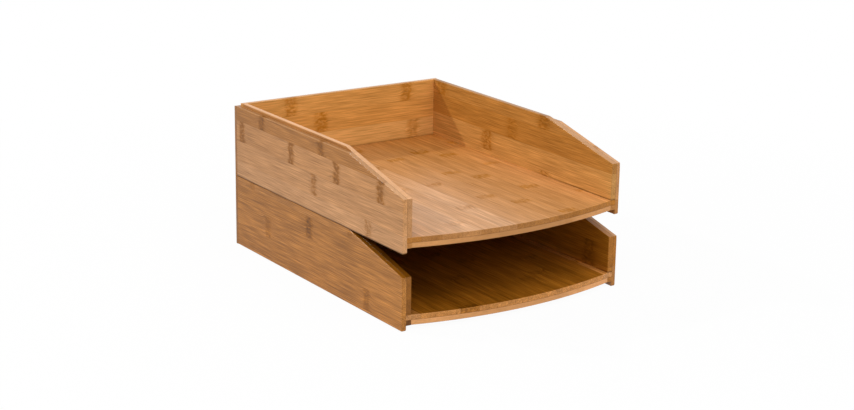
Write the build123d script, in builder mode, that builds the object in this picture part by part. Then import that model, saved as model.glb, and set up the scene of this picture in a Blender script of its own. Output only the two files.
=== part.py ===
"""A stack of two letter trays in pressed bamboo.

Each tray is glued up from eight boards and two rails. Its side panels and its back panel are two plies
thick. The outer ply hangs below the floor as a skirt. The inner ply stands on the floor and rises past the
outer ply as a tongue. The skirt of one tray goes round the tongue of the tray below and rests on the ledge
beside it. The rails fill the floor's lower ply out to the skirt.

The origin is in the middle of the footprint, on the surface that the stack stands on. X runs to the right,
Y to the back and Z up. Lengths are in millimetres.
"""

from build123d import *

import os

# Outline of one tray
tray_width = 250.0  # over the outer faces of the side panels
side_length = 316.0  # from the front end of a side panel to the back of the tray
floor_bow = 16.0  # how far the middle of the floor's front edge stands out past the side panels
tray_pitch = 73.5  # from the foot of the skirt up to the ledge that carries the next tray
slope_drop = 22.0  # how far below the ledge the front end of a side panel ends
slope_length = 106.0  # from the front end back to where the slope meets the top of the tongue

# Thickness of the boards
outer_ply = 4.5
inner_ply = 5.5
floor_top_thickness = 5.0
floor_bottom_thickness = 5.0

# Stacking joint
tongue_height = 3.2  # how far the tongue rises past the ledge
tongue_clearance = 0.4  # between the tongue and the skirt that goes round it
head_clearance = 1.8  # between the top of the tongue and the floor above it

# Eased edges
edge_radius = 0.8  # edges that a hand touches
skirt_radius = 1.2  # inner edge of a side skirt's foot, so that it finds the tongue
heel_radius = 3.0  # lower back edge of the tray
floor_edge_radius = 0.6  # front edge of the floor

# Across the tray: half widths at the outer face, at the glue line and at the inside face of a side panel
outer_half = tray_width / 2
glue_half = outer_half - outer_ply
inside_half = glue_half - inner_ply

# Along the tray: the bowed floor reaches as far to the front as the back panel does to the back
front_y = (floor_bow - side_length) / 2
back_y = front_y + side_length
glue_y = back_y - outer_ply
inside_y = glue_y - inner_ply

# Up the tray, from the foot of its skirt
floor_underside = tongue_height + head_clearance
floor_joint = floor_underside + floor_bottom_thickness
floor_top = floor_joint + floor_top_thickness
tongue_top = tray_pitch + tongue_height
front_top = tray_pitch - slope_drop

# One slope is sawn across both plies, so it meets the lower ledge further forward than the tongue
tongue_bend_y = front_y + slope_length
ledge_bend_y = front_y + slope_length * slope_drop / (slope_drop + tongue_height)


def side_plane(side, far, near):
    """Plane on which a board of a side panel starts, between two half widths. side is -1 left and 1 right."""
    return Plane.YZ.offset(min(side * far, side * near))


def outward(side):
    """Axis that points out of a side panel."""
    return Axis((0, 0, 0), (side, 0, 0))


def make_side_outer_board(side, foot):
    """Outer ply of a side panel, from the foot of the skirt up to the ledge."""
    with BuildPart() as board:
        with BuildSketch(side_plane(side, outer_half, glue_half)):
            with BuildLine():
                Polyline(
                    (front_y, foot),
                    (front_y, foot + front_top),
                    (ledge_bend_y, foot + tray_pitch),
                    (glue_y, foot + tray_pitch),
                    (glue_y, foot),
                    close=True,
                )
            make_face()
        extrude(amount=outer_ply)
        glued_face = board.faces().sort_by(outward(side))[0]
        open_face = board.faces().sort_by(outward(side))[-1]
        skirt_edge = glued_face.edges().filter_by(Axis.Y).sort_by(Axis.Z)[0]
        eased_edges = open_face.edges().sort_by(Axis.Y)[:-1]
        fillet(skirt_edge, radius=skirt_radius)
        fillet(eased_edges, radius=edge_radius)
    return board.part


def make_side_inner_board(side, foot):
    """Inner ply of a side panel, from the floor up to the tongue, which is set in to clear the skirt above."""
    with BuildPart() as board:
        with BuildSketch(side_plane(side, glue_half, inside_half)):
            with BuildLine():
                Polyline(
                    (front_y, foot + floor_top),
                    (front_y, foot + front_top),
                    (tongue_bend_y, foot + tongue_top),
                    (inside_y, foot + tongue_top),
                    (inside_y, foot + floor_top),
                    close=True,
                )
            make_face()
        extrude(amount=inner_ply)
        with BuildSketch(side_plane(side, glue_half, glue_half - tongue_clearance)):
            with Locations((front_y, foot + tray_pitch)):
                Rectangle(side_length, tongue_height, align=(Align.MIN, Align.MIN))
        extrude(amount=tongue_clearance, mode=Mode.SUBTRACT)
        open_face = board.faces().sort_by(outward(side))[0]
        eased_edges = open_face.edges().sort_by(Axis.Y)[:-1]
        tongue_edges = board.edges().filter_by(Axis.Y).group_by(Axis.Z)[-1]
        lead_edge = tongue_edges.sort_by(outward(side))[-1]
        fillet(eased_edges, radius=edge_radius)
        fillet(lead_edge, radius=edge_radius)
    return board.part


def make_back_outer_board(foot):
    """Outer ply of the back panel. It covers the ends of the outer side boards and carries on their skirt."""
    with BuildPart() as board:
        with BuildSketch(Plane.YZ.offset(-outer_half)) as profile:
            with Locations((glue_y, foot)):
                Rectangle(outer_ply, tray_pitch, align=(Align.MIN, Align.MIN))
            heel = profile.vertices().group_by(Axis.Y)[0].sort_by(Axis.X)[-1]
            fillet(heel, radius=heel_radius)
        extrude(amount=tray_width)
        back_face = board.faces().sort_by(Axis.Y)[-1]
        left_end = board.faces().sort_by(Axis.X)[0]
        right_end = board.faces().sort_by(Axis.X)[-1]
        eased_edges = back_face.edges().sort_by(Axis.Z)[-1:]
        eased_edges += left_end.edges().sort_by(Axis.Y)[1:]
        eased_edges += right_end.edges().sort_by(Axis.Y)[1:]
        fillet(eased_edges, radius=edge_radius)
    return board.part


def make_back_inner_board(foot):
    """Inner ply of the back panel. Its tongue is set in at the back and at both ends."""
    with BuildPart() as board:
        with BuildSketch(Plane.XY.offset(foot + floor_top)):
            with Locations((0, inside_y)):
                Rectangle(2 * glue_half, inner_ply, align=(Align.CENTER, Align.MIN))
        extrude(amount=tray_pitch - floor_top)
        with BuildSketch(Plane.XY.offset(foot + tray_pitch)):
            with Locations((0, inside_y)):
                Rectangle(
                    2 * (glue_half - tongue_clearance),
                    inner_ply - tongue_clearance,
                    align=(Align.CENTER, Align.MIN),
                )
        extrude(amount=tongue_height)
        top_edges = board.faces().sort_by(Axis.Z)[-1].edges()
        fillet(top_edges, radius=edge_radius)
    return board.part


def draw_floor_outline(corners):
    """Outline of a floor ply: straight lines through the corners, and the bowed front edge as one arc."""
    Polyline(*corners)
    ThreePointArc(corners[-1], (0, front_y - floor_bow), corners[0])


def make_floor_top_ply(foot):
    """Upper ply of the floor. It runs on under the inner boards and butts against the outer ones."""
    with BuildPart() as ply:
        with BuildSketch(Plane.XY.offset(foot + floor_joint)):
            with BuildLine():
                draw_floor_outline([
                    (-inside_half, front_y),
                    (-glue_half, front_y),
                    (-glue_half, glue_y),
                    (glue_half, glue_y),
                    (glue_half, front_y),
                    (inside_half, front_y),
                ])
            make_face()
        extrude(amount=floor_top_thickness)
        front_edge = ply.edges().filter_by(GeomType.CIRCLE).sort_by(Axis.Z)[-1]
        fillet(front_edge, radius=floor_edge_radius)
    return ply.part


def make_floor_bottom_ply(foot):
    """Lower ply of the floor. It is as wide as the inside of the tray and lies between the two rails."""
    with BuildPart() as ply:
        with BuildSketch(Plane.XY.offset(foot + floor_underside)):
            with BuildLine():
                draw_floor_outline([
                    (-inside_half, front_y),
                    (-inside_half, glue_y),
                    (inside_half, glue_y),
                    (inside_half, front_y),
                ])
            make_face()
        extrude(amount=floor_bottom_thickness)
        front_edge = ply.edges().filter_by(GeomType.CIRCLE).sort_by(Axis.Z)[0]
        fillet(front_edge, radius=floor_edge_radius)
    return ply.part


def make_floor_rail(side, foot):
    """Rail beside the lower ply of the floor. It lies under the inner board of a side panel."""
    with BuildPart() as rail:
        with BuildSketch(side_plane(side, glue_half, inside_half)):
            with Locations((front_y, foot + floor_underside)):
                Rectangle(glue_y - front_y, floor_bottom_thickness, align=(Align.MIN, Align.MIN))
        extrude(amount=inner_ply)
    return rail.part


os.makedirs("parts", exist_ok=True)

for tray, foot in (("lower", 0), ("upper", tray_pitch)):
    boards = {
        "left_outer_board": make_side_outer_board(-1, foot),
        "left_inner_board": make_side_inner_board(-1, foot),
        "right_outer_board": make_side_outer_board(1, foot),
        "right_inner_board": make_side_inner_board(1, foot),
        "back_outer_board": make_back_outer_board(foot),
        "back_inner_board": make_back_inner_board(foot),
        "floor_top_ply": make_floor_top_ply(foot),
        "floor_bottom_ply": make_floor_bottom_ply(foot),
        "left_floor_rail": make_floor_rail(-1, foot),
        "right_floor_rail": make_floor_rail(1, foot),
    }
    for name, board in boards.items():
        board.label = f"{tray}_{name}"
        export_step(board, f"parts/{board.label}.step")

print(f"inside of a tray: {2 * inside_half:.1f} wide, {inside_y - front_y:.1f} from front end to back panel")
print(f"stack: {tray_width:.1f} wide, {side_length + floor_bow:.1f} deep, {tray_pitch + tongue_top:.1f} high")
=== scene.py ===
# %% [markdown]
# # A stack of two bamboo letter trays
#
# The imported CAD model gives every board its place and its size. This script draws each board again as a fine
# surface with eased edges, gives it the grain of carbonised bamboo under a satin lacquer, and sets up the
# studio.

import math
import random

import bpy
import numpy as np
from mathutils import Matrix, Vector


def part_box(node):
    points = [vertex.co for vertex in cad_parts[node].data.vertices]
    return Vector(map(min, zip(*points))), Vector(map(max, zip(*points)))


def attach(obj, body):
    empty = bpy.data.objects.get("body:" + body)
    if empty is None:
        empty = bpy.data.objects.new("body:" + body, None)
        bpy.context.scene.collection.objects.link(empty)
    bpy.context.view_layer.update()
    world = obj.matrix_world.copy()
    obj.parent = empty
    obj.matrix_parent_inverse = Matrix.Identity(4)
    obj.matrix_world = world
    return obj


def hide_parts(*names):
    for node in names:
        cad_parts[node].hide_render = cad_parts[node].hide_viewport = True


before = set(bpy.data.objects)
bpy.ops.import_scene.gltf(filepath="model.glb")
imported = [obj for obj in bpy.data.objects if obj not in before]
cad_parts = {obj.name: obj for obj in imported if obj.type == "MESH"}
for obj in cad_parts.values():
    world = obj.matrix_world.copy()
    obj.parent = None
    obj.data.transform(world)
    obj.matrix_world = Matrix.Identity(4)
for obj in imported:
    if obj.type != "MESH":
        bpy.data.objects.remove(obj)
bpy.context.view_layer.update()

MM = 0.001
print("boards in the frame:", len(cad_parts))


# %% [markdown]
# ## Sizes that a box doesn't give
#
# A few shapes need more than that: the slope that is sawn off the front of a side panel, and the tongue,
# which is set in a little so that the tray above fits round it. The bow of the floor is worked out from how
# far the floor reaches past the side panels: a circle that rises by the bow over half its chord has a radius
# of (chord² + bow²) / (2 bow).

# %% Sizes of the slope, the tongue and the bow
SLOPE_LENGTH = 106.0  # along the tray, up to the top of the tongue
SLOPE_HEIGHT = 25.2
TONGUE_SET_IN = 0.4
TONGUE_HEIGHT = 3.2


def corners(name):
    """Lowest and highest corner of a board in millimetres."""
    return [np.array(corner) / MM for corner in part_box(name)]


panel_low, panel_high = corners("lower_left_outer_board")
floor_low, floor_high = corners("lower_floor_bottom_ply")
foot_to_ledge = panel_high[2] - panel_low[2]
front_y = panel_low[1]
bow = front_y - floor_low[1]
bow_half = floor_high[0]
bow_radius = (bow_half**2 + bow**2) / (2 * bow)
print(f"ledge {foot_to_ledge:.1f} mm above the foot, bow {bow:.1f} mm on a radius of {bow_radius:.0f} mm")


# %% [markdown]
# ## A board as rows
#
# A board is flat, so its large faces need few points. What the eye reads is the edge: a sharp edge looks like
# a computer drawing, and a sanded edge catches a thin line of light. So the face is a grid of rows, and its
# border is carried round the edge in small steps of a quarter circle, down the side, and on to the back face.
#
# The Bevel modifier could round the edges too, but it gives every edge one radius. Here the edges that a hand
# touches are eased by 0.8 mm, and the edges at a glue line only by 0.2 mm, which leaves the hairline that
# shows where two plies meet.

# %% Places of the rows and columns
CORNER = 1.6  # radius in mm of a rounded lower front corner
ARC = np.linspace(0, np.pi / 2, 6)  # six angles round an eased edge
FIRST_ZONE, LAST_ZONE = 5.0, 3.0  # in mm. Only rows in these zones give way when a face is drawn in
FIRST_ROWS = np.array([3.0, 5.0])  # places in mm after the first row
LAST_ROWS = np.array([5.0, 3.0, 1.5, 0.7, 0.0])  # places in mm before the last row
END_SHARES = np.array([0, 0.004, 0.012])  # the columns nearest to an end, as shares of a row
EVEN_SHARES = (0.03, 0.97)  # the first and the last of the evenly spaced ones
PANEL_STEP, PANEL_COLUMNS = 6.0, 50


def row_places(low, high, step, bends=()):
    """Base places of the rows: even steps, closer ones near both ends, and one at each bend."""
    first = np.concatenate([CORNER * (1 - np.cos(ARC)), FIRST_ROWS])
    even = np.arange(low + FIRST_ZONE + step, high - FIRST_ZONE, step)
    return np.unique(np.concatenate([low + first, even, high - LAST_ROWS, bends]).round(3))


def columns(count):
    """Places along a row, as shares of its length, closer together near both ends."""
    return np.concatenate([END_SHARES, np.linspace(*EVEN_SHARES, count), 1 - END_SHARES[::-1]])


panel_rows = row_places(0, foot_to_ledge, PANEL_STEP)
print("rows of a panel:", len(panel_rows), "columns:", len(columns(PANEL_COLUMNS)))


# %% The face and its border
def draw_grid(rows, shares, start, end, inset):
    """Grid of a face whose four sides are drawn in by inset = (first row, end, last row, start).

    A row's place is its base place, squeezed only in the zones beside the first and the last row. A point
    lies at its share of the way from the row's start to its end.
    """
    first, last = rows[0], rows[-1]
    base = [first, first + FIRST_ZONE, last - LAST_ZONE, last]
    drawn_in = [first + inset[0], first + FIRST_ZONE, last - LAST_ZONE, last - inset[2]]
    places = np.interp(rows, base, drawn_in)
    begin = start(places, inset[3], inset[0])
    finish = end(places, inset[1], inset[0])
    along = begin[:, None] + (finish - begin)[:, None] * shares[None, :]
    return along, np.repeat(places[:, None], len(shares), axis=1)


def border(grid):
    """Values along the border of a grid: first row, end column, last row and start column, as one loop."""
    return np.concatenate([grid[0, :-1], grid[:-1, -1], grid[-1, :0:-1], grid[:0:-1, 0]])


def spread_radii(radii, counts):
    """Radius at each point of the border. A side keeps its own radius, and a corner has the mean of two."""
    spread = np.repeat(radii, counts)
    corner_points = np.cumsum([0, *counts[:-1]])
    spread[corner_points] = (radii + np.roll(radii, 1)) / 2
    return spread


def in_space(axes, along, across, through):
    """Points in space. axes names the object's axes along a row, across the rows and through the board."""
    points = np.empty((along.size, 3))
    for axis, values in zip(axes, (along, across, through)):
        points[:, "XYZ".index(axis)] = np.ravel(values)
    return points


# %% [markdown]
# ## From rows to a closed board
#
# The front face, the rounded edge, the side, the other rounded edge and the back face all have the same
# number of points in their border, so each border is a ring. Joining every ring to the next one closes the
# board without a seam.

# %% Quads and volume
def join_quads(row_count, column_count, ring_count):
    """Quads of the near face, the far face, and the bands between neighbouring rings."""
    face_size = row_count * column_count
    ring_size = 2 * (row_count + column_count) - 4
    far_start = face_size + ring_size * ring_count
    index = np.arange(face_size).reshape(row_count, column_count)
    cells = [index[:-1, :-1], index[:-1, 1:], index[1:, 1:], index[1:, :-1]]
    near_quads = np.stack(cells, axis=-1).reshape(-1, 4)
    far_quads = near_quads[:, ::-1] + far_start
    rings = [border(index)]
    rings += [face_size + ring_size * i + np.arange(ring_size) for i in range(ring_count)]
    rings.append(border(index + far_start))
    bands = [np.stack([np.roll(inner, -1), inner, outer, np.roll(outer, -1)], axis=-1)
             for inner, outer in zip(rings[:-1], rings[1:])]
    return np.concatenate([near_quads, far_quads, *bands])


def measure_volume(points, quads):
    """Volume inside closed quads, which is negative if they point inwards.

    Each triangle spans a pyramid with the origin, and its volume is a sixth of the triple product of its
    corners. A quad is two triangles.
    """
    a, b, c, d = [points[quads[:, i]] for i in range(4)]
    first, second = np.cross(b, c), np.cross(c, d)
    return (np.einsum("ij,ij->i", a, first) + np.einsum("ij,ij->i", a, second)).sum() / 6


# %% A closed board
SUPPORT = 0.4  # a row of points this far in from an eased edge keeps the shading of the face flat
HOLD = 0.2  # and a ring this far past the edge does the same for the side
SHARP = math.radians(35)  # an edge that turns by more than this stays sharp


def make_board(name, axes, rows, shares, start, end, near, far, ease_near, ease_far, step=None):
    """Board between the planes near and far. axes names the object axes along a row, across rows and through.

    ease_near and ease_far are the radii of the four edges at each face. At an angle a round an edge of radius
    r, the border is drawn in by r (1 - sin a) and lies r (1 - cos a) below the face. step gives how far the
    far face is set in at each row.
    """
    near_ease, far_ease = np.array(ease_near), np.array(ease_far)
    direction = np.sign(far - near)
    counts = [len(shares) - 1, len(rows) - 1, len(shares) - 1, len(rows) - 1]
    set_in = np.zeros(len(rows)) if step is None else step(rows)
    set_in = np.repeat(set_in[:, None], len(shares), axis=1)

    def ring(inset, through):
        along, across = draw_grid(rows, shares, start, end, inset)
        return in_space(axes, border(along), border(across), through)

    near_radius, far_radius = spread_radii(near_ease, counts), spread_radii(far_ease, counts)
    far_level = far - direction * border(set_in)
    rings = [ring(near_ease * (1 - np.sin(a)), near + direction * near_radius * (1 - np.cos(a))) for a in ARC]
    rings.append(ring(np.zeros(4), near + direction * (near_radius + HOLD)))
    rings.append(ring(np.zeros(4), far_level - direction * (far_radius + HOLD)))
    for a in ARC[::-1]:
        rings.append(ring(far_ease * (1 - np.sin(a)), far_level - direction * far_radius * (1 - np.cos(a))))

    along, across = draw_grid(rows, shares, start, end, near_ease + SUPPORT)
    near_face = in_space(axes, along, across, np.full(along.shape, near))
    along, across = draw_grid(rows, shares, start, end, far_ease + SUPPORT)
    far_face = in_space(axes, along, across, far - direction * set_in)
    points = np.concatenate([near_face, *rings, far_face])
    quads = join_quads(len(rows), len(shares), len(rings))
    volume = measure_volume(points, quads)
    if volume < 0:
        quads = quads[:, ::-1]

    mesh = bpy.data.meshes.new(name)
    mesh.from_pydata((points * MM).tolist(), [], quads.tolist())
    mesh.shade_smooth()
    mesh.set_sharp_from_angle(angle=SHARP)
    board = bpy.data.objects.new(name, mesh)
    bpy.context.scene.collection.objects.link(board)
    print(f"{name}: {len(quads)} faces, {abs(volume) / 1000:.1f} cm3")
    return board


# %% [markdown]
# ## The three kinds of outline
#
# - A side panel ends at the front in an upright line and a slope, so a row starts at whichever lies further
#   back. Drawn in by d, the upright line moves by d and the slope, measured along a row, by d over the sine
#   of its angle. The lower front corner is a quarter circle.
# - A back panel is a rectangle, and so is a rail.
# - A floor's front edge is an arc, with a short straight end on each side in the top ply.
#
# Each outline is a pair of functions, one for where the rows start and one for where they end. They take the
# places of the rows, how far the start or the end is drawn in, and how far the first row is drawn in.

# %% Outlines
SQUARE = 0.01  # radius in mm of a corner that isn't rounded


def round_off(places, corner, radius):
    """How far a row is drawn back at a rounded corner: radius less the height of a quarter circle."""
    reach = np.clip(radius - np.abs(places - corner), 0, None)
    return radius - np.sqrt(radius**2 - reach**2)


def tongue_step(ledge):
    """Function that gives how far each row is set in: the set-in above the ledge, and nothing below it."""
    def step(places):
        return TONGUE_SET_IN * (places > ledge)

    return step


def straight_end(high):
    """End of the rows at the back of a side board or a floor ply."""
    def end(places, inset, below):
        return np.full(places.shape, high[1] - inset)

    return end


def side_outline(low, high, foot, corner):
    """Start and end of the rows of a side board."""
    slope_foot = foot + foot_to_ledge + TONGUE_HEIGHT - SLOPE_HEIGHT
    sine = math.sin(math.atan2(SLOPE_HEIGHT, SLOPE_LENGTH))

    def start(places, inset, below):
        upright = low[1] + inset + round_off(places, low[2] + below, max(corner - inset, SQUARE))
        slope = low[1] + (places - slope_foot) * SLOPE_LENGTH / SLOPE_HEIGHT + inset / sine
        return np.maximum(upright, slope)

    return start, straight_end(high)


def back_outline(low, high, ledge):
    """Start and end of the rows of a back board. Above the ledge both are set in."""
    set_in = tongue_step(ledge)

    def start(places, inset, below):
        return low[0] + inset + set_in(places)

    def end(places, inset, below):
        return high[0] - inset - set_in(places)

    return start, end


def floor_outline(high):
    """Start and end of the rows of a floor ply, whose front is an arc."""
    centre = front_y - bow + bow_radius

    def start(places, inset, below):
        arc = centre - np.sqrt(np.clip((bow_radius - inset) ** 2 - places**2, 0, None))
        return np.minimum(arc, front_y + inset)

    return start, straight_end(high)


# %% [markdown]
# ## The sixteen boards and four rails
#
# Each tray has two plies on the left, on the right, at the back and in its floor, and two rails. Every board
# is its own object, because the real ones are glued up from single boards, and because the tray above lifts
# off.
#
# The four radii of a face are those of its first row, its end, its last row and its start. On a side board
# the first row is the lower edge, the end is at the back and the start is the front and the slope.

# %% Side boards and back boards
TOUCHED, GLUED, SKIRT, HEEL, JOINT = 0.8, 0.2, 0.9, 3.0, 0.3  # radii in mm of the eased edges
BESIDE_LEDGE = 0.02  # the rows on both sides of the ledge are this close to it, so that the step is sharp


def ledge_rows(ledge, outer):
    """Places of the two rows beside the ledge, which only an inner board has."""
    return [] if outer else [ledge - BESIDE_LEDGE, ledge + BESIDE_LEDGE]


def make_side_board(name, low, high, foot, outer):
    """Ply of a side panel: the outer one, from skirt to ledge, or the inner one, from floor to tongue."""
    ledge = foot + foot_to_ledge
    inner_side, outer_side = sorted([low[0], high[0]], key=abs)
    bends = [ledge + TONGUE_HEIGHT - SLOPE_HEIGHT] + ledge_rows(ledge, outer)
    rows = row_places(low[2], high[2], PANEL_STEP, bends)
    start, end = side_outline(low, high, foot, CORNER if outer else SQUARE)
    if outer:
        near, far = outer_side, inner_side
        ease_near, ease_far = (TOUCHED, GLUED, TOUCHED, TOUCHED), (SKIRT, GLUED, GLUED, GLUED)
    else:
        near, far = inner_side, outer_side
        ease_near, ease_far = (JOINT, GLUED, TOUCHED, TOUCHED), (GLUED, GLUED, TOUCHED, GLUED)
    step = None if outer else tongue_step(ledge)
    shares = columns(PANEL_COLUMNS)
    return make_board(name, "YZX", rows, shares, start, end, near, far, ease_near, ease_far, step)


def make_back_board(name, low, high, foot, outer):
    """Ply of the back panel. The outer one is rounded at the heel, the inner one has the tongue."""
    ledge = foot + foot_to_ledge
    rows = row_places(low[2], high[2], PANEL_STEP, ledge_rows(ledge, outer))
    start, end = back_outline(low, high, ledge)
    if outer:
        near, far = high[1], low[1]
        ease_near, ease_far = (HEEL, TOUCHED, TOUCHED, TOUCHED), (SKIRT, GLUED, GLUED, GLUED)
    else:
        near, far = low[1], high[1]
        ease_near, ease_far = (JOINT, GLUED, TOUCHED, GLUED), (GLUED, GLUED, TOUCHED, GLUED)
    step = None if outer else tongue_step(ledge)
    shares = columns(PANEL_COLUMNS)
    return make_board(name, "XZY", rows, shares, start, end, near, far, ease_near, ease_far, step)


# %% Floor plies and rails
TOP_FRONT, BOTTOM_FRONT = 0.5, 0.7  # radii in mm of the bowed front edges
FLOOR_STEP, FLOOR_COLUMNS = 2.5, 40
RAIL_STEP, RAIL_COLUMNS = 8.0, 6


def make_floor_ply(name, low, high, top):
    """Ply of the floor. Only its front edge shows, so only that is eased like an edge that a hand touches."""
    bends = [-bow_half, bow_half] if top else []
    rows = row_places(low[0], high[0], FLOOR_STEP, bends)
    start, end = floor_outline(high)
    near, far = (high[2], low[2]) if top else (low[2], high[2])
    ease_near = (GLUED, GLUED, GLUED, TOP_FRONT) if top else (JOINT, JOINT, JOINT, BOTTOM_FRONT)
    shares = columns(FLOOR_COLUMNS)
    return make_board(name, "YXZ", rows, shares, start, end, near, far, ease_near, (GLUED,) * 4)


def make_rail(name, low, high):
    """Rail beside the lower ply of the floor. Its rows run across it, so its first row is the front end."""
    rows = row_places(low[1], high[1], RAIL_STEP)
    start, end = back_outline(low, high, math.inf)
    shares = columns(RAIL_COLUMNS)
    return make_board(name, "XYZ", rows, shares, start, end, low[2], high[2], (JOINT,) * 4, (GLUED,) * 4)


# %% Make every board
boards = {}
for node_name in sorted(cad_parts):
    tray, piece = node_name.split("_", 1)
    low, high = corners(node_name)
    foot = 0.0 if tray == "lower" else foot_to_ledge
    name = node_name + "_bamboo"
    if "rail" in piece:
        board = make_rail(name, low, high)
    elif "floor" in piece:
        board = make_floor_ply(name, low, high, "top" in piece)
    elif "back" in piece:
        board = make_back_board(name, low, high, foot, "outer" in piece)
    else:
        board = make_side_board(name, low, high, foot, "outer" in piece)
    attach(board, tray + "_tray")
    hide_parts(node_name)
    boards[node_name] = board


# %% [markdown]
# ## Two small helpers
#
# A shader is a graph, so it is easiest to read when each node takes one line. The first helper turns the sRGB
# hex colour that a colour picker shows into the linear values that a shader works with. The second one adds a
# node, sets its properties and fills its inputs. An input is either a value or another node, whose first
# output is then linked.

# %% Helpers for colours and nodes
def linear(code):
    """Linear RGBA of an sRGB hex colour: each channel to the power 2.4, with a straight toe near black."""
    channels = [int(code[i : i + 2], 16) / 255 for i in (1, 3, 5)]
    return [c / 12.92 if c < 0.04045 else ((c + 0.055) / 1.055) ** 2.4 for c in channels] + [1.0]


def add(tree, kind, inputs=None, stops=None, **settings):
    """Adds a node, sets its properties and inputs, and on a colour ramp its stops of place and colour."""
    node = tree.nodes.new("ShaderNode" + kind)
    for name, value in settings.items():
        setattr(node, name, value)
    for name, value in (inputs or {}).items():
        if isinstance(value, bpy.types.Node):
            value = value.outputs[0]
        if isinstance(value, bpy.types.NodeSocket):
            tree.links.new(value, node.inputs[name])
        else:
            node.inputs[name].default_value = value
    for i, (place, shade) in enumerate(stops or []):
        elements = node.color_ramp.elements
        element = elements[i] if i < 2 else elements.new(place)
        element.position = place
        element.color = shade
    return node


print("half grey, #808080, is", round(linear("#808080")[0], 3), "of the light")


# %% [markdown]
# ## How a bamboo board is put together
#
# Bamboo is a hollow grass stem. The stem is split, planed into strips about 20 mm wide and steamed until its
# sugars brown, which is called carbonising. The strips are then glued side by side into boards. Each strip
# has its own tone. A stem also has knuckles, where a leaf grew, and a strip shows each one as a dark band
# across its width.
#
# The table below gives each board its strips. The knuckles of each strip lie at places of their own, so they
# are listed one by one, in millimetres from the board's lowest end. A tone of 0.5 is mid-brown, and 0.17 more
# doubles the light. A pale strip has more yellow and grey in it, a strip of paleness 0 is orange-brown.

# %% Strips and knuckles of each board
PANEL_STRIP = 21.3  # width of a strip in mm
FLOOR_STRIP = 19.5

# each board's axes along its strips, across them, and through the board
GRAIN = {
    "left_outer_board": "YZX",
    "left_inner_board": "YZX",
    "right_outer_board": "YZX",
    "right_inner_board": "YZX",
    "back_outer_board": "XZY",
    "back_inner_board": "XZY",
    "floor_top_ply": "YXZ",
    "floor_bottom_ply": "XYZ",
    "left_floor_rail": "YXZ",
    "right_floor_rail": "YXZ",
}

# first seam in mm, then for each strip: tone, paleness, strength of its knuckles, where they are, and, where
# it differs, how much lighter its cut end is
CHART = {
    "upper_left_outer_board": (17.0, [
        (0.490, 0.88, 0.37, [59]), (0.480, 0.77, 0.46, [157]), (0.471, 0.66, 0.74, [300, 200, 115, 38]),
        (0.412, 0.31, 0.55, [258, 144]),
    ]),
    "upper_right_inner_board": (5.0, [
        (0.550, 0.70, 0.26, [104]), (0.529, 0.70, 0.46, [205]), (0.475, 0.36, 0.19, [162]),
        (0.486, 0.49, 0.33, [109, 290]),
    ]),
    "upper_back_inner_board": (20.5, [
        (0.593, 0.88, 0.32, [209]), (0.578, 0.55, 0.45, [93]), (0.575, 0.62, 0.4, [56, 200]),
    ]),
    "upper_floor_top_ply": (14.0, [
        (0.530, 0.60, 0.2, [40, 210]), (0.562, 0.80, 0.15, [70, 260], -0.06),
        (0.568, 0.92, 0.15, [120], -0.03), (0.562, 1.00, 0.15, [30, 200]), (0.548, 0.87, 0.15, [150], -0.02),
        (0.549, 1.00, 0.25, [69, 230], -0.02), (0.535, 0.76, 0.3, [151, 300], -0.03),
        (0.529, 0.74, 0.25, [250, 90], -0.01), (0.524, 0.66, 0.25, [180, 60], -0.01),
        (0.506, 0.60, 0.3, [11, 153, 263]), (0.522, 0.55, 0.25, [98, 240], 0.01),
        (0.545, 0.54, 0.15, [190]), (0.563, 0.49, 0.2, [60, 280], -0.01),
    ]),
    "lower_left_outer_board": (2.5, [
        (0.440, 0.24, 0.24, []), (0.405, 0.18, 0.4, [60]), (0.427, 0.20, 0.26, [247]),
        (0.397, 0.20, 0.8, [166]), (0.421, 0.28, 0.24, [90, 280]),
    ]),
    # darker and less pale than the upper tray's right panel: painted shade inside the lower tray
    "lower_right_inner_board": (5.0, [
        (0.430, 0.10, 0.55, [30]), (0.384, 0.00, 0.55, [30, 210]), (0.394, 0.00, 0.41, [150]),
        (0.430, 0.10, 0.68, [109, 250]),
    ]),
    # darker and less pale than the upper tray's floor: painted shade inside the lower tray
    "lower_floor_top_ply": (14.0, [
        (0.400, 0.24, 0.24, [120, 210], -0.09), (0.310, 0.00, 0.18, [70, 260], 0.04),
        (0.284, 0.00, 0.18, [120], 0.06), (0.265, 0.00, 0.6, [3], 0.07), (0.349, 0.00, 0.18, [150], -0.02),
        (0.323, 0.00, 0.3, [80, 230], 0.02), (0.348, 0.00, 0.36, [151, 300], 0.01),
        (0.371, 0.00, 0.3, [250, 120], -0.01), (0.389, 0.00, 0.3, [43, 180], -0.03),
        (0.395, 0.00, 0.36, [52, 263], -0.03), (0.375, 0.00, 0.3, [98, 240], 0.01),
        (0.419, 0.00, 0.18, [190], -0.03), (0.548, 0.27, 0.24, [60, 280], -0.19),
    ]),
    "upper_floor_bottom_ply": (18.0, [(0.492, 0.55, 0.1, [170]), (0.490, 0.40, 0.3, [100, 200])]),
    "lower_floor_bottom_ply": (18.0, [(0.575, 0.62, 0.1, [190]), (0.490, 0.40, 0.3, [60, 200])]),
    "upper_left_floor_rail": (18.0, [(0.450, 0.31, 0.3, [150])]),
    "upper_right_floor_rail": (18.0, [(0.450, 0.31, 0.3, [170])]),
    "lower_left_floor_rail": (18.0, [(0.300, 0.24, 0.9, [2, 160])]),
    "lower_right_floor_rail": (18.0, [(0.430, 0.17, 0.3, [140])]),
    "upper_left_inner_board": (15.9, [
        (0.490, 0.50, 0.4, [90, 240]), (0.480, 0.55, 0.4, [40, 170]), (0.450, 0.42, 0.3, [220]),
        (0.450, 0.40, 0.2, []),
    ]),
}
print("boards with listed strips:", len(CHART), "of", len(boards))


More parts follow.
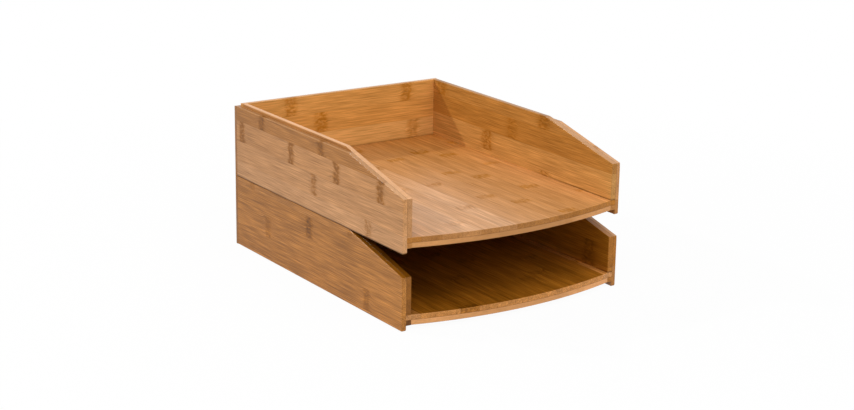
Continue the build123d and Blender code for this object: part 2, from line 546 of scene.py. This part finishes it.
# %% Strips of the boards that can't be seen
FIRST_SEAM = (0.2, 1.0)  # range of the first seam's place, as a share of a strip
FIRST_KNUCKLE, KNUCKLE_GAP = (10, 160), (90, 150)  # ranges in mm
TONES, PALENESSES, STRENGTHS = (0.46, 0.51), (0.3, 0.8), (0.2, 0.5)


def make_chart(name, length, width, strip_width):
    """Strips of a board. One that isn't listed gets tones and knuckles from its own seeded random series."""
    if name in CHART:
        return CHART[name]
    draw = random.Random(name)
    first_seam = draw.uniform(*FIRST_SEAM) * strip_width
    strips = []
    for _ in range(1 + math.ceil((width - first_seam) / strip_width)):
        first = draw.uniform(*FIRST_KNUCKLE)
        knuckles = [first, first + draw.uniform(*KNUCKLE_GAP)]
        tone, paleness, strength = draw.uniform(*TONES), draw.uniform(*PALENESSES), draw.uniform(*STRENGTHS)
        strips.append((tone, paleness, strength, [k for k in knuckles if k < length]))
    return first_seam, strips


# %% [markdown]
# ## How the boards differ
#
# The boards come from different stems, and each face was sawn and sanded in its own way, so no two of them
# look quite the same. A separate material for each board, drawn by hand, would be long. Instead one material
# is built for all of them, and this table says what differs. An entry holds for every board whose name has
# its words in it, and a later entry adds to an earlier one. Shades and palenesses are added to those of the
# strip. Some entries don't describe the wood but paint light and shade, as the list says.
#
# - `straw`: how yellow, rather than grey, the pale strips are
# - the joint entry: length in mm, from the front, and depth of a line of painted shade along a foot that isn't
#   quite closed
# - `knuckle_reach`: how far in mm a knuckle reaches along its strip to either side
# - `contrast` and `broad`: contrast of all fibres, and strength of the broad ones
# - `end_shade` and `end_paleness`: on the cut ends of the fibres
# - `sawn_shade` and `sawn_paleness`: on a face that is sawn across the strips, such as the top of a panel. On
#   the lower tray's left panel they paint the shade of the tray above
# - `slope_shade` and `ledge_shade`: on the slope, and in the corner of the ledge
# - the `start_...` and `far_...` entries: painted light and shade, a slow change at the front or left end of
#   the strips, and at the far one

# %% How the boards differ
LOOKS = {
    "": {"straw": 0.0, "joint": (1, 0), "knuckle_reach": 8.5, "contrast": 0.75, "broad": 0.10,
         "end_shade": 0.0, "end_paleness": 0.0, "sawn_shade": -0.03, "sawn_paleness": 0.5,
         "slope_shade": 0.08, "ledge_shade": 0.0, "start_painted_light": 0.0, "far_painted_light": 0.0, "far_painted_paleness": 0.0},
    "floor": {"knuckle_reach": 9.0, "contrast": 0.65, "broad": 0.22, "sawn_shade": 0.0, "sawn_paleness": 0.0},
    "back_outer": {"end_shade": -0.14},
    "inner": {"straw": 1.0, "knuckle_reach": 15.0, "end_shade": -0.05},
    "back_inner": {"knuckle_reach": 12.0},
    "right_inner": {"contrast": 0.85},
    # painted shade: the dark line at its foot and the darker far end. Its lighter sawn top is partly paler
    # wood and partly a painted highlight on the lit edge
    "upper_left_outer": {"contrast": 0.9, "joint": (640, 1.0), "end_shade": 0.03, "sawn_shade": 0.05,
                         "slope_shade": 0.0, "ledge_shade": -0.05, "far_painted_light": -0.035},
    "upper_left_inner": {"straw": 0.0, "sawn_shade": 0.14, "slope_shade": 0.0, "end_shade": -0.01,
                         "end_paleness": 0.2},
    # painted shade in the open joints at the foot of these two boards
    "upper_right_inner": {"joint": (90, 0.7)},
    "upper_back_inner": {"joint": (480, 0.4)},
    # painted shade: darker and less pale towards the back, where the back panel's shadow falls
    "upper_floor_top": {"end_shade": -0.10, "end_paleness": -0.5, "far_painted_light": -0.04, "far_painted_paleness": -0.3},
    # painted shade: both ends of the bowed front edge are darkened against the light that they catch
    "upper_floor_bottom": {"start_painted_light": -0.05, "far_painted_light": -0.01},
    # painted shade: its sawn slope, under the tray above, is darkened; its front end is lighter and its far
    # end darker, painted light and shade
    "lower_left_outer": {"contrast": 1.25, "broad": 0.12, "sawn_shade": -0.12, "sawn_paleness": -0.3,
                         "slope_shade": 0.0, "end_shade": -0.01, "start_painted_light": 0.03, "far_painted_light": -0.01},
    # painted shade: its sawn top and slope, under the tray above, are darkened
    "lower_left_inner": {"sawn_shade": -0.28, "sawn_paleness": -0.5, "slope_shade": 0.0, "end_shade": -0.18,
                         "end_paleness": -0.6},
    # painted shade in the open joint at its foot
    "lower_right_inner": {"joint": (12, 0.6), "end_shade": 0.02},
    "lower_right_outer": {"end_shade": -0.05, "end_paleness": -0.4},
    # painted light: lighter towards the back, deep inside the lower tray
    "lower_floor_top": {"contrast": 1.05, "end_shade": 0.15, "end_paleness": 0.3, "far_painted_light": 0.05},
    # painted shade: both ends of the bowed front edge are darkened against the light that they catch
    "lower_floor_bottom": {"start_painted_light": -0.09, "far_painted_light": -0.04},
}


def find_look(name):
    """Look of a board, gathered from every entry whose words are in its name."""
    look = {}
    for words, values in LOOKS.items():
        if words in name:
            look.update(values)
    return look


print("a rail looks like this:", find_look("upper_left_floor_rail"))


# %% [markdown]
# ## The figure of the wood
#
# The pattern is built in the board's own coordinates: along the grain, across the strips and through the ply.
# A photograph of bamboo would be quicker, but its knuckles would repeat and its cut ends wouldn't match.
# A noise that is stretched far along the grain draws the fibres. Because it fills space, a cut end shows the
# same fibres as dots, as real end grain does.

# %% Patterns along the grain
def draw_grain(tree, wood, length, width, detail):
    """Patches of noise about length mm long and width mm wide, whose values swing round 0.5."""
    squeezed = add(tree, "VectorMath", {0: wood, 1: [1 / length, 1 / width, 1 / width]}, operation="MULTIPLY")
    return add(tree, "TexNoise", {"Vector": squeezed, "Scale": 1.0, "Detail": detail}).outputs[0]


# length and width of each pattern in mm, and its detail. Real fibres are 0.3 mm wide. They are drawn about
# three times as coarse, so that they show
FINE_FIBRES = (32, 0.8, 3.0)
DARK_DASHES = (60, 1.2, 2.0)
BROAD_FIBRES = (60, 3.0, 2.0)
CLOUDS = (60, 11, 1.0)
RAGGED_EDGE = (30, 7, 2.0)
KNUCKLE_SPOTS = (5.0, 3.0, 2.0)
SAW_TICKS = (5, 0.8, 1.0)


# %% Where a point is, and which way its face looks
END_FACING = (0.1, 0.6)  # a face is end grain as its normal's share along the grain grows through this range
SAWN_FACING = (0.6, 0.9)  # and sawn across the strips by the share across them
SLOPE_FACING = (0.10, 0.20)  # a sawn face is part of the slope by its share along the grain


def find_place(tree, grain, low):
    """Place of a point in mm along, across and through the board, from the board's lowest corner."""
    place = add(tree, "TexCoord")
    board = add(tree, "Mapping", {"Vector": place.outputs["Object"], "Scale": [1 / MM] * 3,
                                  "Location": [-c for c in low]})
    axes = add(tree, "SeparateXYZ", {0: board})
    return [axes.outputs[axis] for axis in grain]


def find_cuts(tree, grain):
    """How far a face is end grain, is sawn across the strips, and is part of the slope, from 0 to 1 each."""
    normal = add(tree, "TexCoord").outputs["Normal"]
    facing = add(tree, "SeparateXYZ", {0: normal})
    lengthways = add(tree, "Math", {0: facing.outputs[grain[0]]}, operation="ABSOLUTE")
    sideways = add(tree, "Math", {0: facing.outputs[grain[1]]}, operation="ABSOLUTE")
    end_grain = add(tree, "MapRange", {0: lengthways, 1: END_FACING[0], 2: END_FACING[1]},
                    interpolation_type="SMOOTHSTEP")
    sawn = add(tree, "MapRange", {0: sideways, 1: SAWN_FACING[0], 2: SAWN_FACING[1]})
    slope = add(tree, "MapRange", {0: lengthways, 1: SLOPE_FACING[0], 2: SLOPE_FACING[1]})
    slope = add(tree, "Math", {0: slope, 1: sawn}, operation="MULTIPLY")
    return end_grain, sawn, slope


# %% [markdown]
# ## Strips and their knuckles
#
# A board could be split into strips in the mesh, with a material for each. But its strips are glued flush and
# sanded as one, so they are only a change of colour, and a colour ramp with stepped stops holds them like a
# table. A stop has four numbers: one ramp keeps the look of each strip and another one the places of its
# knuckles.

# %% Strips
SEAM_LINE = (0.1, 0.5)  # a seam fades out between these distances from it, in mm
REACH = 450.0  # knuckle places are kept in a ramp's colours, as a share of this length
BEFORE = 50.0  # where a strip has fewer than four knuckles, the others lie this far before the board


def find_strip(tree, across, first_seam, strip_width):
    """Number of the strip that a point is in, and how far the point is on a seam, from 0 to 1."""
    turns = add(tree, "Math", {0: across, 1: first_seam - strip_width}, operation="SUBTRACT")
    turns = add(tree, "Math", {0: turns, 1: strip_width}, operation="DIVIDE")
    number = add(tree, "Math", {0: turns}, operation="FLOOR")
    share = add(tree, "Math", {0: turns}, operation="FRACT")
    middle = add(tree, "Math", {0: share, 1: 0.5}, operation="SUBTRACT")
    middle = add(tree, "Math", {0: middle}, operation="ABSOLUTE")
    from_seam = add(tree, "Math", {0: middle, 1: -strip_width, 2: strip_width / 2}, operation="MULTIPLY_ADD")
    seam = add(tree, "MapRange", {0: from_seam, 1: SEAM_LINE[0], 2: SEAM_LINE[1], 3: 1.0, 4: 0.0},
               interpolation_type="SMOOTHSTEP")
    return number, seam


def look_up_strips(tree, number, strips):
    """Tone, paleness, strength and end tone of the strip with this number, and the places of its knuckles.

    The end tone is kept with 0.5 added to it, because a colour can't be below 0.
    """
    row = add(tree, "Math", {0: number, 1: 0.5}, operation="ADD")
    row = add(tree, "Math", {0: row, 1: len(strips)}, operation="DIVIDE")
    looks, places = [], []
    for i, (tone, paleness, strength, knuckles, *end) in enumerate(strips):
        filled = (list(knuckles) + [-BEFORE] * 4)[:4]
        looks.append((i / len(strips), (tone, paleness, strength, 0.5 + sum(end))))
        places.append((i / len(strips), [(k + BEFORE) / REACH for k in filled]))
    look_ramp = add(tree, "ValToRGB", {0: row}, stops=looks)
    place_ramp = add(tree, "ValToRGB", {0: row}, stops=places)
    for ramp in (look_ramp, place_ramp):
        ramp.color_ramp.interpolation = "CONSTANT"
    look = add(tree, "SeparateColor", {0: look_ramp})
    place = add(tree, "SeparateColor", {0: place_ramp})
    end_tone = add(tree, "Math", {0: look_ramp.outputs["Alpha"], 1: 0.5}, operation="SUBTRACT")
    return [*look.outputs[:3], end_tone], [*place.outputs[:3], place_ramp.outputs["Alpha"]]


# %% [markdown]
# ## Knuckles
#
# At a knuckle a wall once crossed the hollow stem, so its fibres are short, dense and dark. The band isn't
# even. It is darkest at its two rims, its edge is ragged, and it breaks up into spots. Beside it the long
# fibres swerve. There they are read from a place that lies to the side by a few millimetres.

# %% Knuckles
RAGGED = 9.0  # how far in mm a knuckle's edge wanders in all
# share of its reach, and how dark the band is there
KNUCKLE_PROFILE = ((0.0, 0.90), (0.20, 0.90), (0.34, 1.00), (0.52, 0.50), (0.74, 0.15), (1.0, 0.0))
SPOT_RANGE, SPOT_DEPTH = (0.38, 0.58), (0.30, 1.0)  # this range of the noise gives this range of depths
SWERVE_RANGE = (3.0, 16.0)  # distances from a knuckle in mm over which the swerve dies away
SWERVE = 14.0  # in mm, times how far the noise swings from its middle


def find_knuckle(tree, along, ragged, places):
    """Distance in mm to the nearest knuckle, and the number of knuckles that a point is past."""
    edge = add(tree, "Math", {0: ragged, 1: RAGGED, 2: along}, operation="MULTIPLY_ADD")
    nearest, passed = None, None
    for place in places:
        knuckle = add(tree, "Math", {0: place, 1: REACH, 2: RAGGED / 2 - BEFORE}, operation="MULTIPLY_ADD")
        gap = add(tree, "Math", {0: edge, 1: knuckle}, operation="SUBTRACT")
        beyond = add(tree, "Math", {0: gap, 1: 0.0}, operation="GREATER_THAN")
        passed = beyond if passed is None else add(tree, "Math", {0: beyond, 1: passed}, operation="ADD")
        gap = add(tree, "Math", {0: gap}, operation="ABSOLUTE")
        nearest = gap if nearest is None else add(tree, "Math", {0: gap, 1: nearest}, operation="MINIMUM")
    return nearest, passed


def draw_knuckle(tree, wood, nearest, reach, strength):
    """Depth of a knuckle's band: its profile over its reach, times its spots, times its strength."""
    share = add(tree, "Math", {0: nearest, 1: reach}, operation="DIVIDE")
    profile = [(place, (depth, 0, 0, 1)) for place, depth in KNUCKLE_PROFILE]
    band = add(tree, "ValToRGB", {0: share}, stops=profile)
    band = add(tree, "SeparateColor", {0: band})
    spots = draw_grain(tree, wood, *KNUCKLE_SPOTS)
    spots = add(tree, "MapRange", {0: spots, 1: SPOT_RANGE[0], 2: SPOT_RANGE[1],
                                   3: SPOT_DEPTH[0], 4: SPOT_DEPTH[1]})
    knuckle = add(tree, "Math", {0: band, 1: spots}, operation="MULTIPLY")
    return add(tree, "Math", {0: knuckle, 1: strength}, operation="MULTIPLY")


def swerve(tree, across, ragged, nearest):
    """Place across the strips from which a fibre is read, which lies to the side beside a knuckle."""
    bend = add(tree, "Math", {0: ragged, 1: 0.5}, operation="SUBTRACT")
    near = add(tree, "MapRange", {0: nearest, 1: SWERVE_RANGE[0], 2: SWERVE_RANGE[1], 3: SWERVE, 4: 0.0},
               interpolation_type="SMOOTHSTEP")
    return add(tree, "Math", {0: bend, 1: near, 2: across}, operation="MULTIPLY_ADD")


# %% [markdown]
# ## Fibres
#
# The fibres are drawn at three scales, with slow clouds of tone along the stem. One noise with many octaves
# would be shorter, but its scales couldn't be weighed one against the other. Each part swings round its own
# middle, so that a part can be made stronger without making the whole board darker.

# %% Fibres
DASH_RANGE = (0.56, 0.70)  # only the peaks of this noise become dashes
DASH_MIDDLE = 0.1  # their mean, as most of the wood has none
FINE_WEIGHT, DASH_WEIGHT, CLOUD_WEIGHT = 0.42, -0.08, 0.14
SAWN_CALM = 0.6  # how much fainter the figure is on a face that is sawn across the strips


def add_up(tree, start, parts):
    """Start plus the weighted parts. A part is (node, its middle, weight), and its middle adds nothing."""
    for part, middle, weight in parts:
        centred = add(tree, "Math", {0: part, 1: middle}, operation="SUBTRACT")
        start = add(tree, "Math", {0: centred, 1: weight, 2: start}, operation="MULTIPLY_ADD")
    return start


def draw_figure(tree, wood, fine, sawn, look):
    """Figure of the fibres, fainter on a sawn face."""
    dashes = draw_grain(tree, wood, *DARK_DASHES)
    dashes = add(tree, "MapRange", {0: dashes, 1: DASH_RANGE[0], 2: DASH_RANGE[1]})
    broad = draw_grain(tree, wood, *BROAD_FIBRES)
    cloud = draw_grain(tree, wood, *CLOUDS)
    contrast = look["contrast"]
    clear = add(tree, "Math", {0: sawn, 1: -SAWN_CALM * contrast, 2: contrast}, operation="MULTIPLY_ADD")
    figure = add_up(tree, 0.0, [
        (fine, 0.5, FINE_WEIGHT), (dashes, DASH_MIDDLE, DASH_WEIGHT), (broad, 0.5, look["broad"]),
        (cloud, 0.5, CLOUD_WEIGHT),
    ])
    return add(tree, "Math", {0: figure, 1: clear}, operation="MULTIPLY")


# %% [markdown]
# ## Joints
#
# Where two plies are glued, a hairline shows, because glue soaks into the edges and dust gathers on them. The
# mesh already has a tiny groove there, and the material darkens it. Some boards aren't quite closed against
# the board below them, and the narrow gap is dark with shade. The material paints that shade as a black line
# along the foot, which fades out along the board. A real gap of a tenth of a millimetre would be lost in the
# mesh.

# %% Joints
GLUE_LINE = (0.1, 0.4)  # in mm, the glue line fades out between these distances
LEDGE_CORNER = (1.0, 3.4)  # and so does the shade in the corner of the ledge
FOOT_SHADE_FADE = (0.7, 1.8)  # and the painted shade in an open joint, measured from the foot


def draw_glue(tree, across, through, glue_face, glue_start):
    """Glue line, which starts at glue_start across the strips, and nearness to the corner beside it."""
    away = add(tree, "Math", {0: through, 1: glue_face}, operation="SUBTRACT")
    away = add(tree, "Math", {0: away}, operation="ABSOLUTE")
    glue = add(tree, "MapRange", {0: away, 1: GLUE_LINE[0], 2: GLUE_LINE[1], 3: 1.0, 4: 0.0})
    glued = add(tree, "Math", {0: across, 1: glue_start}, operation="GREATER_THAN")
    glue = add(tree, "Math", {0: glue, 1: glued}, operation="MULTIPLY")
    corner = add(tree, "MapRange", {0: away, 1: LEDGE_CORNER[0], 2: LEDGE_CORNER[1], 3: 1.0, 4: 0.0})
    return glue, corner


def paint_foot_gap_shade(tree, along, across, joint):
    """Painted shade of an open joint along the foot. The pair holds its length, where it is half faded, and
    its depth.
    """
    length, depth = joint
    line = add(tree, "MapRange", {0: across, 1: FOOT_SHADE_FADE[0], 2: FOOT_SHADE_FADE[1], 3: depth, 4: 0.0})
    fade = add(tree, "MapRange", {0: along, 1: 0.5 * length, 2: 1.5 * length, 3: 1.0, 4: 0.0})
    return add(tree, "Math", {0: line, 1: fade}, operation="MULTIPLY")


# %% [markdown]
# ## From shade to colour
#
# Everything above adds up to one number, the shade, and three colour ramps turn it into a colour: golden
# brown, straw yellow and pale grey-brown. They run from dark to light in steps that look even. A shade of 0.5
# has half of the red light, and each 0.17 more doubles it. So a knuckle takes the same share of light from a
# dark strip as from a pale one.

# %% Colours
GOLD = ("#4b2903", "#6f4108", "#955c16", "#bc7824", "#d78b2e", "#ed9b37")
STRAW = ("#4b2d09", "#6f4b1e", "#956b35", "#bc8c4e", "#d7a25e", "#edb46d")
PALE = ("#4b2d0e", "#6f4b27", "#956b44", "#bc8c60", "#d7a272", "#edb483")
SHADE_PLACES = (0.01, 0.21, 0.37, 0.50, 0.58, 0.63)  # the shade of each of the six colours


def mix_colours(tree, shade, paleness, yellow):
    """Colour of a shade: golden brown, or by its paleness a pale brown that is partly yellow."""
    gold, straw, pale = [
        add(tree, "ValToRGB", {0: shade}, stops=[(p, linear(c)) for p, c in zip(SHADE_PLACES, codes)])
        for codes in (GOLD, STRAW, PALE)
    ]
    pale = add(tree, "Mix", {"Factor": yellow, 6: pale, 7: straw}, data_type="RGBA")
    paleness = add(tree, "Clamp", {0: paleness})
    return add(tree, "Mix", {"Factor": paleness, 6: gold, 7: pale.outputs[2]}, data_type="RGBA").outputs[2]


# %% [markdown]
# ## The finish
#
# The boards are sanded and sprayed with satin lacquer. In the Principled shader that is a clear coat over a
# matt base. The base mirrors nothing itself, because the lacquer fills its pores. The coat is smoother than
# the wood, so at a low angle it mirrors the white room softly, which is partly why the front of the floor
# looks paler than the back; the rest is painted shade at the back of the upper floor. Lacquer also sinks a
# little at a seam and stands over a knuckle, which the bump shows.

# %% The bamboo material
FIBRE_SHIFT = 4000.0  # each strip takes its fibres from a place up to this many mm further along the noise
STEM_STEP = 0.37  # moves the random tone on at each knuckle
STEM, KNUCKLE, SEAM, TICKS, GLUE, FOOT_GAP_SHADE = 0.015, -0.24, -0.025, 0.06, -0.08, -0.30  # weights in the shade. The last one paints the shade in an open joint at a foot
KNUCKLE_PALENESS = -1.3  # a knuckle is browner than its strip
FIBRE_RELIEF, SEAM_RELIEF = 0.3, -0.6  # where a knuckle stands out by 1
RELIEF_STRENGTH, RELIEF_HEIGHT = 0.25, 0.1 * MM
COAT, COAT_ROUGHNESS = 0.5, 0.22  # satin, halfway between gloss at 0.05 and matt at 0.4


def make_bamboo(name, grain, low, length, strip_width, chart, glue_face, glue_start, look):
    """Carbonised bamboo under satin lacquer. grain names the object axes along, across and through the board.

    glue_face is where the glue line lies through the board, and glue_start is where it starts across it.
    """
    material = bpy.data.materials.new("carbonised_bamboo_" + name)
    material.use_nodes = True
    tree = material.node_tree
    tree.nodes.clear()

    # where the point is, how its face was cut, and what its strip is like
    along, across, through = find_place(tree, grain, low)
    end_grain, sawn, slope = find_cuts(tree, grain)
    first_seam, strips = chart
    number, seam = find_strip(tree, across, first_seam, strip_width)
    (tone, paleness, strength, end_tone), places = look_up_strips(tree, number, strips)
    end_tone = add(tree, "Math", {0: end_tone, 1: end_grain}, operation="MULTIPLY")

    # the wood of the strip, with its knuckles
    shift = add(tree, "TexWhiteNoise", {"W": number}, noise_dimensions="1D")
    slide = add(tree, "Math", {0: shift.outputs["Value"], 1: FIBRE_SHIFT, 2: along}, operation="MULTIPLY_ADD")
    wood = add(tree, "CombineXYZ", {0: slide, 1: across, 2: through})
    ragged = draw_grain(tree, wood, *RAGGED_EDGE)
    nearest, passed = find_knuckle(tree, along, ragged, places)
    knuckle = draw_knuckle(tree, wood, nearest, look["knuckle_reach"], strength)

    # the stem changes its tone a little at each knuckle
    stem = add(tree, "Math", {0: passed, 1: STEM_STEP, 2: number}, operation="MULTIPLY_ADD")
    stem = add(tree, "TexWhiteNoise", {"W": stem}, noise_dimensions="1D").outputs["Value"]

    bent = swerve(tree, across, ragged, nearest)
    wood = add(tree, "CombineXYZ", {0: slide, 1: bent, 2: through})
    fine = draw_grain(tree, wood, *FINE_FIBRES)
    figure = draw_figure(tree, wood, fine, sawn, look)

    # a saw leaves short ticks on a cut end
    ticks = draw_grain(tree, wood, *SAW_TICKS)
    ticks = add(tree, "Math", {0: ticks, 1: 0.5}, operation="SUBTRACT")
    ticks = add(tree, "Math", {0: ticks, 1: end_grain}, operation="MULTIPLY")

    # the joints: the glue line, and the painted shade in an open joint at the foot. The ledge is sawn but
    # isn't part of the slope
    glue, corner = draw_glue(tree, across, through, glue_face, glue_start)
    foot_gap_shade = paint_foot_gap_shade(tree, along, across, look["joint"])
    ledge = add(tree, "Math", {0: sawn, 1: slope}, operation="SUBTRACT")
    ledge = add(tree, "Math", {0: ledge, 1: corner}, operation="MULTIPLY")

    # painted light and shade: a slow change of tone from the middle of the board to each of its ends
    start = add(tree, "MapRange", {0: along, 1: length / 2, 2: 0.0})
    far = add(tree, "MapRange", {0: along, 1: length / 2, 2: length})

    shade = add_up(tree, tone, [
        (stem, 0.5, STEM), (figure, 0.0, 1.0), (knuckle, 0.0, KNUCKLE), (seam, 0.0, SEAM),
        (ticks, 0.0, TICKS), (end_grain, 0.0, look["end_shade"]), (sawn, 0.0, look["sawn_shade"]),
        (slope, 0.0, look["slope_shade"]), (ledge, 0.0, look["ledge_shade"]), (glue, 0.0, GLUE),
        (foot_gap_shade, 0.0, FOOT_GAP_SHADE), (end_tone, 0.0, 1.0), (start, 0.0, look["start_painted_light"]),
        (far, 0.0, look["far_painted_light"]),
    ])
    paleness = add_up(tree, paleness, [
        (knuckle, 0.0, KNUCKLE_PALENESS), (end_grain, 0.0, look["end_paleness"]),
        (sawn, 0.0, look["sawn_paleness"]), (far, 0.0, look["far_painted_paleness"]),
    ])
    yellow = add(tree, "Math", {0: sawn, 1: -look["straw"], 2: look["straw"]}, operation="MULTIPLY_ADD")
    colour = mix_colours(tree, shade, paleness, yellow)

    relief = add(tree, "Math", {0: fine, 1: FIBRE_RELIEF, 2: knuckle}, operation="MULTIPLY_ADD")
    relief = add(tree, "Math", {0: seam, 1: SEAM_RELIEF, 2: relief}, operation="MULTIPLY_ADD")
    bump = add(tree, "Bump", {"Height": relief, "Strength": RELIEF_STRENGTH, "Distance": RELIEF_HEIGHT})
    surface = add(tree, "BsdfPrincipled", {
        "Base Color": colour, "Normal": bump, "Specular IOR Level": 0.0,
        "Coat Weight": COAT, "Coat Roughness": COAT_ROUGHNESS,
    })
    add(tree, "OutputMaterial", {"Surface": surface})
    return material


# %% [markdown]
# ## Dress the boards
#
# Each board gets its own copy of the material, with its own place, strips and look. The strips of a floor are
# a little narrower than those of a panel.

# %% Dress the boards
OUTER_GLUE = 10.0  # an outer board's glue line starts this far in mm above its foot
WHOLE_GLUE = -1.0  # any other board's starts before the board does


def find_glue_face(piece, low, thickness):
    """Place of the glue line through a board: 0 if it lies at the board's lowest face, else the thickness.

    low is the board's lowest place through it. It tells the right and back panels from the left one.
    """
    if "floor" in piece:
        at_low = "top" in piece
    else:
        at_low = (low > 0) == ("outer" in piece)
    return 0.0 if at_low else thickness


for node_name, board in boards.items():
    piece = node_name.split("_", 1)[1]
    low, high = corners(node_name)
    grain = GRAIN[piece]
    length, width, thickness = [(high - low)["XYZ".index(axis)] for axis in grain]
    strip_width = FLOOR_STRIP if "floor" in piece else PANEL_STRIP
    chart = make_chart(node_name, length, width, strip_width)
    glue_face = find_glue_face(piece, low["XYZ".index(grain[2])], thickness)
    glue_start = OUTER_GLUE if "outer" in piece else WHOLE_GLUE
    look = find_look(node_name)
    bamboo = make_bamboo(node_name, grain, low, length, strip_width, chart, glue_face, glue_start, look)
    board.data.materials.append(bamboo)
print("boards dressed:", sum(len(board.data.materials) for board in boards.values()))


# %% [markdown]
# ## The studio
#
# The camera stands in front of the trays on the left and looks down on them. It could be turned by eye until
# the trays sit well, but here its focal length, place and angles were fitted to the corners and edges of the
# trays in the picture, so that every board lies where it should.

# %% Camera
EYE = Vector((-0.9776, -1.4395, 0.5727))
HEADING, TILT, ROLL = math.radians(34.25), math.radians(-16.30), math.radians(0.90)
SENSOR_WIDTH, FOCAL_LENGTH = 36.0, 76.36  # in mm

lens = bpy.data.cameras.new("camera")
lens.sensor_width = SENSOR_WIDTH
lens.lens = FOCAL_LENGTH
camera = bpy.data.objects.new("camera", lens)
turn = Matrix.Rotation(-HEADING, 4, "Z")
turn = turn @ Matrix.Rotation(math.pi / 2 + TILT, 4, "X")
turn = turn @ Matrix.Rotation(ROLL, 4, "Z")
camera.matrix_world = Matrix.Translation(EYE) @ turn
bpy.context.scene.collection.objects.link(camera)
bpy.context.scene.camera = camera
print("camera to origin:", round(EYE.length, 3), "m")


# %% [markdown]
# The trays stand on white paper in a white room. Paper is pressed fibre, so it scatters light evenly and
# mirrors nothing. If it were only lit, it would come out grey, or the bamboo too bright. So to the camera,
# and in the lacquer, it glows: it comes out white but keeps a little of the shadow. Far from the trays it is
# plain white. The room is plain white to the camera too, while it lights the trays with less than that.

# %% Floor
FLOOR_SIZE = 30.0  # in metres, so that its edge is never seen
NEAR, FAR = 0.3, 0.8  # in metres from the middle of the trays
NEAR_GLOW = 0.96  # share of the glow beside the trays, the rest is the lit paper
PAPER = "#e8e8e8"
WHITE = (1, 1, 1, 1)


def find_seen(tree):
    """1 if a ray comes from the camera, a mirror or clear glass, and 0 if it only brings light."""
    rays = add(tree, "LightPath")
    seen = rays.outputs["Is Camera Ray"]
    for kind in ("Is Glossy Ray", "Is Transmission Ray"):
        seen = add(tree, "Math", {0: seen, 1: rays.outputs[kind]}, operation="MAXIMUM")
    return seen


bpy.ops.mesh.primitive_plane_add(size=FLOOR_SIZE)
floor = bpy.context.object
floor.name = "studio_floor"
paper = bpy.data.materials.new("white_paper")
paper.use_nodes = True
tree = paper.node_tree
tree.nodes.clear()
place = add(tree, "TexCoord")
away = add(tree, "VectorMath", {0: place.outputs["Object"]}, operation="LENGTH")
glow_share = add(tree, "MapRange", {0: away.outputs["Value"], 1: NEAR, 2: FAR, 3: NEAR_GLOW, 4: 1.0})
glow_share = add(tree, "Math", {0: find_seen(tree), 1: glow_share}, operation="MULTIPLY")
matt = add(tree, "BsdfDiffuse", {"Color": linear(PAPER)})
glow = add(tree, "Emission", {"Color": WHITE, "Strength": 1.0})
mix = add(tree, "MixShader", {0: glow_share, 1: matt, 2: glow})
add(tree, "OutputMaterial", {"Surface": mix})
floor.data.materials.append(paper)
print("floor of white paper,", FLOOR_SIZE, "m wide")


# %% World
ROOM_LIGHT = 0.57  # strength with which the room lights the trays, where 1 is white

world = bpy.data.worlds.new("studio")
bpy.context.scene.world = world
world.use_nodes = True
tree = world.node_tree
tree.nodes.clear()
dim = add(tree, "Background", {"Color": WHITE, "Strength": ROOM_LIGHT})
white = add(tree, "Background", {"Color": WHITE, "Strength": 1.0})
mix = add(tree, "MixShader", {0: find_seen(tree), 1: dim, 2: white})
add(tree, "OutputWorld", {"Surface": mix})
print("light of the room:", ROOM_LIGHT)


# %% [markdown]
# A shadow is sharp if its lamp looks small from where it falls. One small lamp stands behind the trays on the
# left and throws the sharp shadow of the upper tray into the lower one. Two large soft ones stand in front,
# the weaker of them on the left, and fill the rest.

# %% Lamps
LAMP_TARGET = Vector((0, 0, 0.08))  # the middle of the stack


def make_softbox(name, direction, distance, size, power):
    """Square area lamp at a distance along a direction from the trays, turned to face them."""
    lamp = bpy.data.lights.new(name, "AREA")
    lamp.shape = "SQUARE"
    lamp.size = size
    lamp.energy = power
    box = bpy.data.objects.new(name, lamp)
    aim = Vector(direction).normalized()
    box.location = LAMP_TARGET + aim * distance
    box.rotation_euler = aim.to_track_quat("Z", "Y").to_euler()
    bpy.context.scene.collection.objects.link(box)
    print(f"{name}: {power} W from a square of {size} m")


make_softbox("key_behind_left", direction=(-0.62, 0.643, 0.58), distance=2.2, size=0.08, power=16.9)
make_softbox("front_left", direction=(-0.6, -0.6, 1.2), distance=2.4, size=1.0, power=13.7)
make_softbox("front", direction=(0.05, -0.95, 0.75), distance=2.4, size=1.5, power=14.8)

bpy.context.scene.view_settings.view_transform = "Standard"
